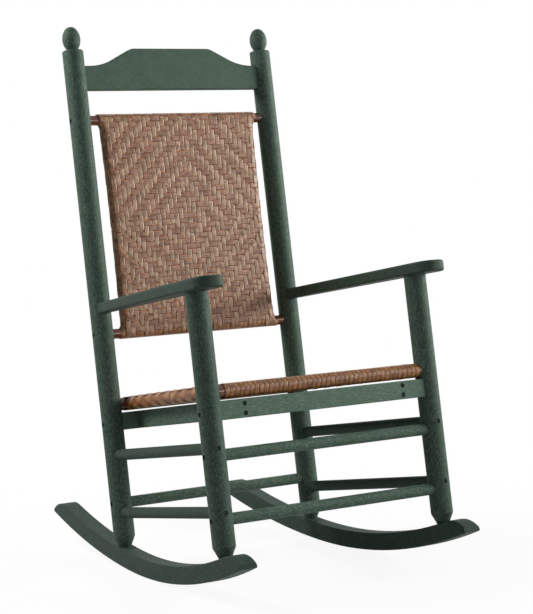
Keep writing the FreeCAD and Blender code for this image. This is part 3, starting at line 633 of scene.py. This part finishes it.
def finish_frame():
    """Give the lumber its grain along the stock, in copies painted lighter or darker per piece for
    the light on them, and the rods and screws their own finishes.
    """
    # Painted light and shading: the same green lumber runs from 0.68 on the arms, rockers and side
    # stretchers to 1.8 on the front and rear seat rails.
    post = lumber_finish("green_lumber_post", stretch=(1, 1, 2.5), painted_shading=0.96,
                         fineness=480, fleck=2)
    stretcher = lumber_finish("green_lumber_stretcher", stretch=(3, 1, 1), painted_shading=1.4,
                              fineness=480, fleck=1.6)
    rail = lumber_finish("green_lumber_rail", stretch=(6, 1, 1), painted_shading=1.8, fleck=1.1)
    side_rail = lumber_finish("green_lumber_side_rail", stretch=(1, 5, 1), painted_shading=1.4,
                              fineness=420)
    crest = lumber_finish("green_lumber_crest", stretch=(8, 1, 1), painted_shading=1.15,
                          fineness=700, fleck=0.7)
    lengthwise = lumber_finish("green_lumber_lengthwise", stretch=(1, 6, 1), painted_shading=0.68,
                               fleck=0.8)
    brown = mottled_finish("gloss_brown_rod", ROD_BROWNS, scale=160, detail=4,
                           roughness=(0.12, 0.2), gloss=0.4)
    steel = mottled_finish("dark_screw_steel", SCREW_GREYS, scale=900, detail=3,
                           roughness=(0.75, 0.55), gloss=0.15, metal=0.2)
    for name, piece in frame["nodes"].items():
        if "screws" in name:
            finish = steel
        elif name.endswith("_rod"):
            finish = brown
        elif name.endswith("_post"):
            finish = post
        elif name.endswith("_seat_rail"):
            finish = side_rail if name.startswith(SIDES) else rail
        elif name.startswith(SIDES):
            finish = lengthwise
        elif name == "crest_rail":
            finish = crest
        else:
            finish = stretcher
        piece.data.materials.clear()
        piece.data.materials.append(finish)


def softbox(name, bearing, height, distance, size, power, aimed, grid):
    """Hang a studio light round the chair, aimed at a level, with a grid that narrows its beam.

    Bearing 0 is straight ahead of the chair, turning to its left arm. Angles are in degrees.
    """
    lamp = bpy.data.lights.new(name, "AREA")
    lamp.shape = "RECTANGLE"
    lamp.size, lamp.size_y = size
    lamp.energy = power
    lamp.spread = math.radians(grid)
    box = set_out(name, lamp)
    angle = math.radians(bearing)
    slope = math.radians(height)
    aim = Vector((-math.sin(angle) * math.cos(slope), -math.cos(angle) * math.cos(slope),
                  math.sin(slope)))
    box.location = LIGHTS_ROUND + aim * distance
    beam = box.location - UP * aimed
    box.rotation_euler = beam.to_track_quat("Z", "Y").to_euler()
    box.visible_camera = False


def light_studio():
    """Large soft lights, and a room that is white to the eye but dim on the chair."""
    softbox("right_front", bearing=-73, height=16, distance=2.8, size=(1.9, 0.9),
            power=31, aimed=1.15, grid=84)
    softbox("front_strip", bearing=-30.5, height=6.7, distance=3.0, size=(1.0, 0.3),
            power=14.5, aimed=0.6, grid=180)
    softbox("left_rear", bearing=120, height=38, distance=1.8, size=(0.6, 0.6),
            power=25, aimed=0.5, grid=180)
    room = bpy.data.worlds.new("white_room")
    bpy.context.scene.world = room
    room.use_nodes = True
    mix = FinishMix(room.node_tree)
    wall = room.node_tree.nodes["Background"]
    wall.inputs["Color"].default_value = (1, 1, 1, 1)
    level = mix.between(mix.shown(mix.add("LightPath")), low=ROOM_ON_CHAIR, high=1)
    mix.link(level, wall.inputs["Strength"])


def lay_floor():
    """A wide pale floor that shows white, with the chair's soft shadow on it."""
    sheet = bmesh.new()
    bmesh.ops.create_grid(sheet, x_segments=2, y_segments=2, size=FLOOR_HALF)
    mesh = bpy.data.meshes.new("studio_floor")
    sheet.to_mesh(mesh)
    sheet.free()
    floor = set_out("studio_floor", mesh)
    pale, shader, mix = start_finish("pale_floor")
    shader.inputs["Roughness"].default_value = 0.9
    shader.inputs["Specular IOR Level"].default_value = 0
    ray = mix.add("LightPath")
    paleness = mix.colours(ray.outputs["Is Camera Ray"], *FLOOR_PALE)
    mix.link(paleness, shader.inputs["Base Color"])
    away = mix.add("VectorMath", operation="LENGTH")
    mix.link(mix.add("TexCoord").outputs["Object"], away.inputs[0])
    open_floor = mix.add("MapRange", interpolation_type="SMOOTHSTEP")
    open_floor.inputs["From Min"].default_value = FLOOR_SHADOW_FROM
    open_floor.inputs["From Max"].default_value = FLOOR_SHADOW_TO
    open_floor.inputs["To Min"].default_value = FLOOR_GLOW_NEAR
    mix.link(away.outputs["Value"], open_floor.inputs["Value"])
    share = mix.worked("Math", "MULTIPLY", mix.shown(ray), open_floor.outputs["Result"])
    glowing = mix.add("MixShader")
    mix.link(share, glowing.inputs["Fac"])
    mix.link(shader.outputs["BSDF"], glowing.inputs[1])
    mix.link(mix.add("Emission").outputs["Emission"], glowing.inputs[2])
    surface = pale.node_tree.nodes["Material Output"].inputs["Surface"]
    mix.link(glowing.outputs["Shader"], surface)
    mesh.materials.append(pale)


def set_camera():
    """Stand where the photograph was taken, a little above the arms, with a long lens."""
    lens = bpy.data.cameras.new("camera")
    lens.lens = CAMERA_LENS_MM
    lens.sensor_width = CAMERA_SENSOR_MM
    camera = set_out("camera", lens)
    camera.matrix_world = CAMERA_STAND
    bpy.context.scene.camera = camera


finish_frame()
weave_back(strand_finish("woven_back_warp_strand", **BACK_WARP_LOOK),
           strand_finish("woven_back_weft_strand", **BACK_WEFT_LOOK))
weave_seat(strand_finish("woven_seat_warp_strand", **SEAT_WARP_LOOK),
           strand_finish("woven_seat_weft_strand", **SEAT_WEFT_LOOK))
lay_floor()
light_studio()
set_camera()
bpy.context.scene.view_settings.view_transform = "Standard"
